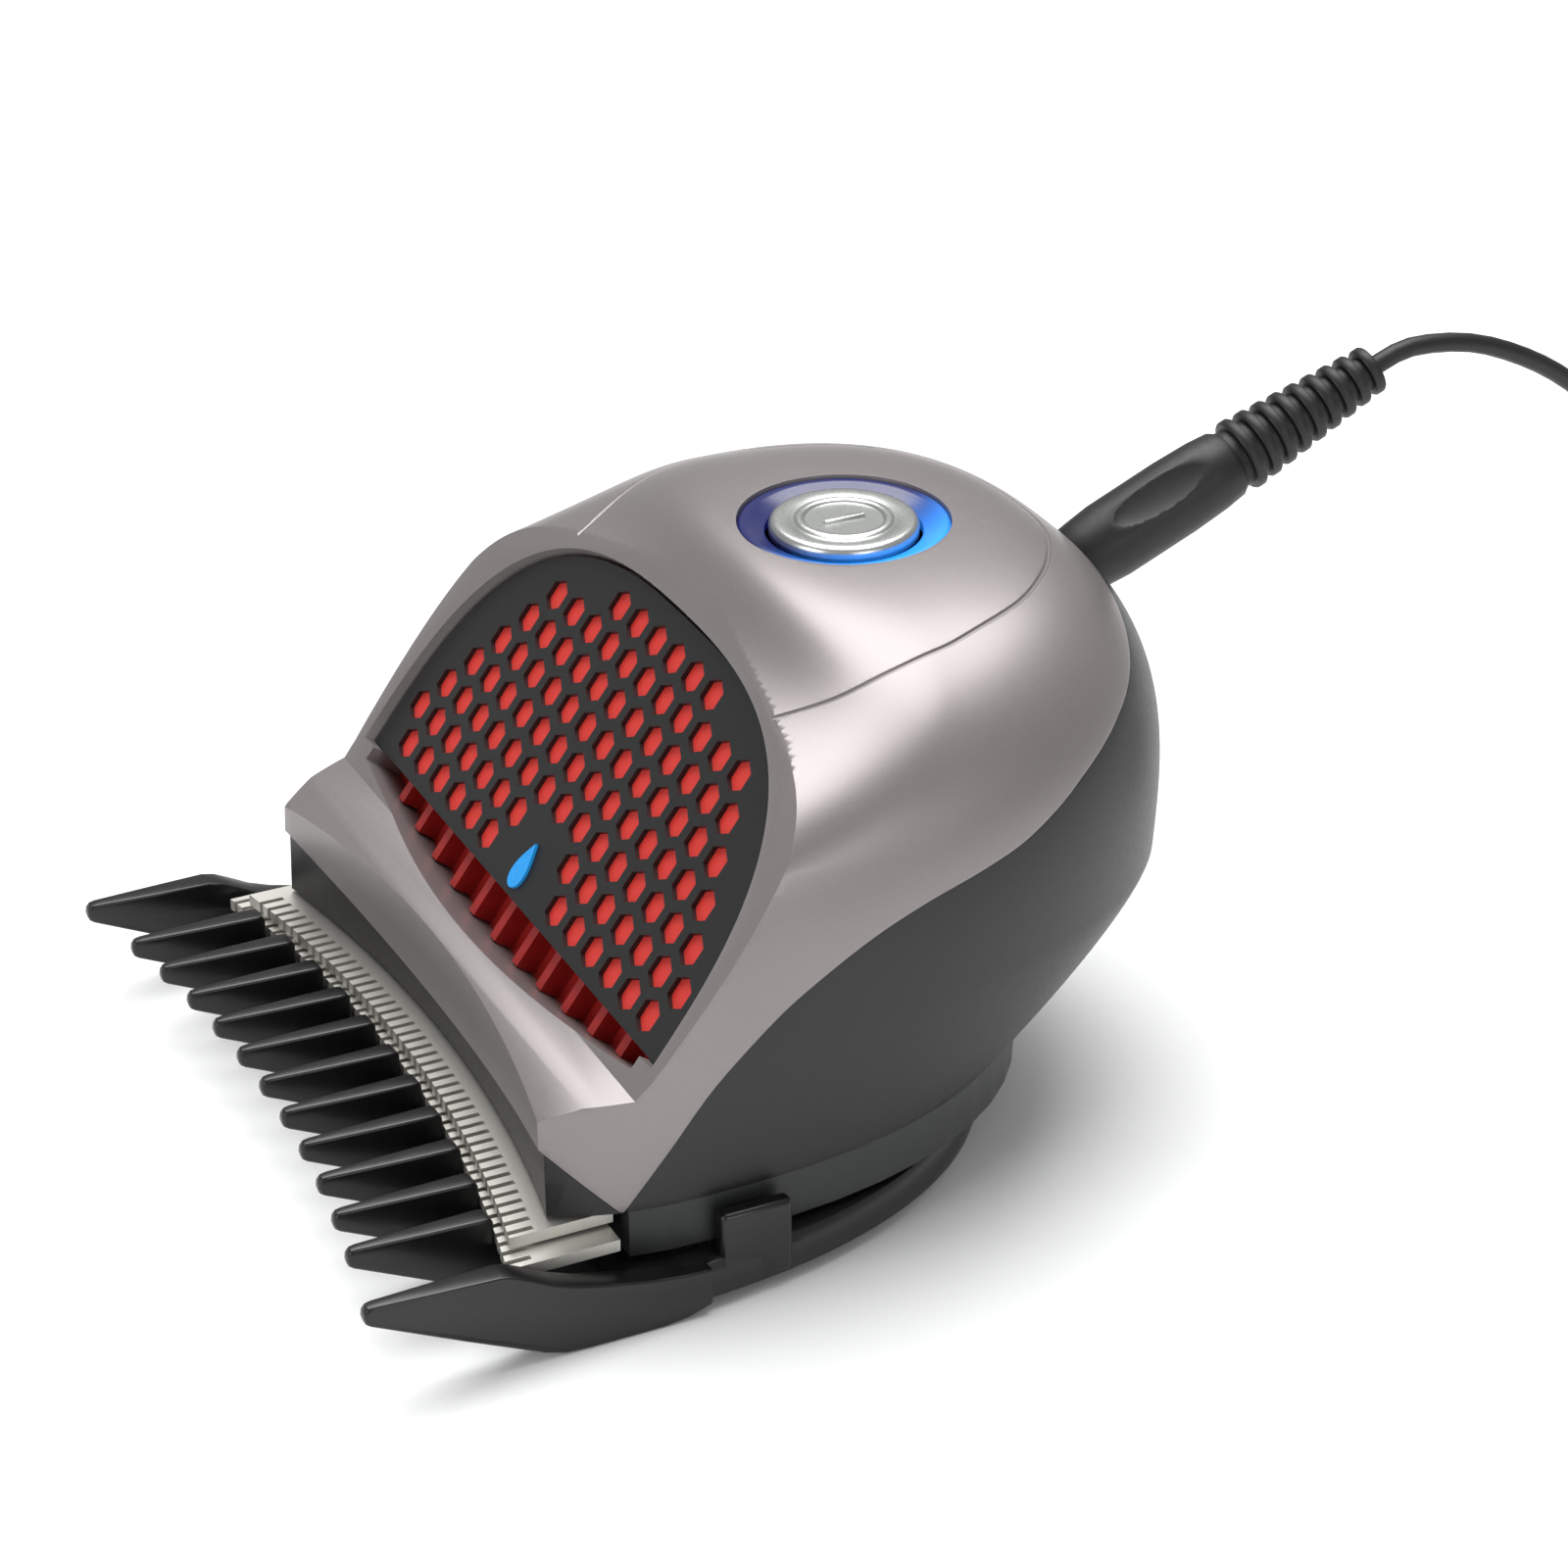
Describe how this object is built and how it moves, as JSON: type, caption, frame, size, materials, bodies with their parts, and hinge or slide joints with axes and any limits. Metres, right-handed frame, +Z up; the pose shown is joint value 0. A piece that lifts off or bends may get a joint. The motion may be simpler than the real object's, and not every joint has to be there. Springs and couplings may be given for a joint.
{
  "type": "hair clipper",
  "caption": "Palm-size hair clipper with a hexagon grille, lit power button, toothed blades, slide-on guard comb and a charging lead in its rear jack.",
  "frame": {"origin": "middle of the clipper's footprint without its charging lead, on the plane of the comb's sole", "axes": "+X across the width, -Y towards the blade and comb teeth, +Z up"},
  "size_m": [0.0808, 0.231, 0.0634],
  "materials": {
    "silver_paint": "satin metallic",
    "charcoal_plastic": "satin",
    "band_plastic": "satin",
    "black_plastic": "satin",
    "red_plastic": "satin",
    "blue_badge": "gloss",
    "blue_lens": "clear gloss",
    "brushed_cap": "brushed",
    "blade_steel": "ground",
    "screw_steel": "plated",
    "ivory_plastic": "satin",
    "board_green": "solder mask",
    "chip_black": "matte",
    "led_white": "clear",
    "cell_wrap": "shrink film",
    "motor_steel": "plated",
    "comb_plastic": "gloss",
    "lead_rubber": "satin",
    "contact_brass": "plated",
    "plug_steel": "plated"
  },
  "bodies": {
    "housing": {"upper_shell": "silver_paint", "lower_shell": "charcoal_plastic", "base_frame": "band_plastic", "blade_cover": "black_plastic", "hex_grille": "black_plastic", "grille_backing": "red_plastic", "rinse_insert": "red_plastic", "drop_badge": "blue_badge", "light_ring": "blue_lens", "tact_switch": "chip_black", "circuit_board": "board_green", "ring_leds": "led_white", "board_parts": "chip_black", "charge_jack": "black_plastic", "battery_cell": "cell_wrap", "battery_tabs": "screw_steel", "battery_cradle": "band_plastic", "motor_can": "motor_steel", "motor_end_cap": "ivory_plastic", "motor_mount": "band_plastic", "motor_screws": "screw_steel", "housing_screws": "screw_steel", "blade_screws": "screw_steel", "fixed_blade": "blade_steel", "tension_spring": "screw_steel"},
    "button": {"power_button": "brushed_cap", "switch_plunger": "ivory_plastic"},
    "rotor": {"motor_shaft": "screw_steel", "eccentric": "ivory_plastic"},
    "cutter": {"moving_blade": "blade_steel", "drive_lever": "ivory_plastic"},
    "comb": {"guard_comb": "comb_plastic"},
    "lead": {"plug_body": "lead_rubber", "plug_barrel": "contact_brass", "cord": "lead_rubber", "cord_coil": "lead_rubber", "cord_tail": "lead_rubber", "coil_tie": "black_plastic", "usb_body": "lead_rubber", "usb_shell": "plug_steel"}
  },
  "joints": [
    {"name": "button_press", "type": "slide", "parent": "housing", "child": "button", "axis": [0, 0, -1], "range_m": [0, 0.0005], "stiffness_N_per_m": 900, "springref_m": -0.0005},
    {"name": "motor_spin", "type": "hinge", "parent": "housing", "child": "rotor", "pos_m": [0, 0.008, 0.012], "axis": [0, 0, 1], "range_deg": [-60, 60]},
    {"name": "blade_stroke", "type": "slide", "parent": "housing", "child": "cutter", "axis": [1, 0, 0], "range_m": [-0.0018, 0.0018]},
    {"name": "comb_slide", "type": "slide", "parent": "housing", "child": "comb", "axis": [0, -1, 0], "range_m": [0, 0.09]},
    {"name": "plug_pull", "type": "slide", "parent": "housing", "child": "lead", "axis": [0, 0.9171, 0.3987], "range_m": [0, 0.012]}
  ],
  "couplings": [
    {"joint": "motor_spin", "follows": "blade_stroke", "rad_per_m": 574.7}
  ]
}
